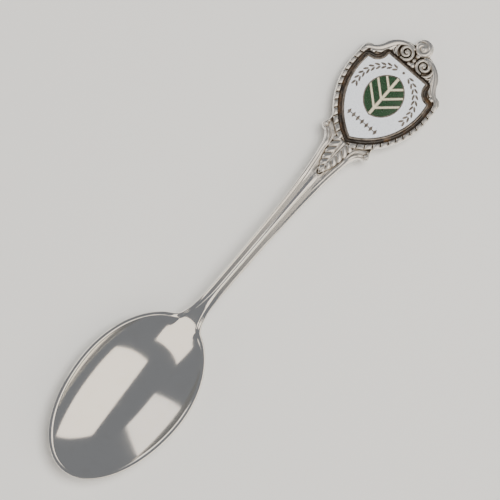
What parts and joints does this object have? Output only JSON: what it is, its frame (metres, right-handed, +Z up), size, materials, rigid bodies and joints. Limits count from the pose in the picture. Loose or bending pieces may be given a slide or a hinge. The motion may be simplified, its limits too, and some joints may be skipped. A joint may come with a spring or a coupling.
{
  "type": "souvenir spoon",
  "caption": "Collector's spoon with an oval bowl, fluted stem and scrolled, beaded finial that frames an enamelled shield plaque with a leaf emblem.",
  "frame": {"origin": "centre of the bottom of the spoon's box, on the table it lies on", "axes": "+Z up out of the bowl's mouth and the finial's face, +Y from the bowl's tip to the finial's tip, +X to the right as seen from above with the finial up"},
  "size_m": [0.0244, 0.1146, 0.0089],
  "materials": {
    "plated_metal": "bright silver plate over a struck blank, with tarnish in the recesses",
    "bronze_plate": "toned brass, satin, worn brighter on its rim",
    "white_enamel": "fired enamel, gloss, flush with the metal lines",
    "cream_enamel": "fired enamel, gloss",
    "green_enamel": "fired enamel, gloss, dark green",
    "adhesive": "aged amber-brown glue"
  },
  "bodies": {
    "root": {"spoon_blank": "plated_metal", "adhesive_bed": "adhesive", "plaque_plate": "bronze_plate", "white_enamel_ground": "white_enamel", "cream_enamel_veins": "cream_enamel", "green_enamel_left_1": "green_enamel", "green_enamel_left_2": "green_enamel", "green_enamel_left_3": "green_enamel", "green_enamel_left_4": "green_enamel", "green_enamel_right_1": "green_enamel", "green_enamel_right_2": "green_enamel", "green_enamel_right_3": "green_enamel", "green_enamel_right_4": "green_enamel"}
  },
  "joints": []
}
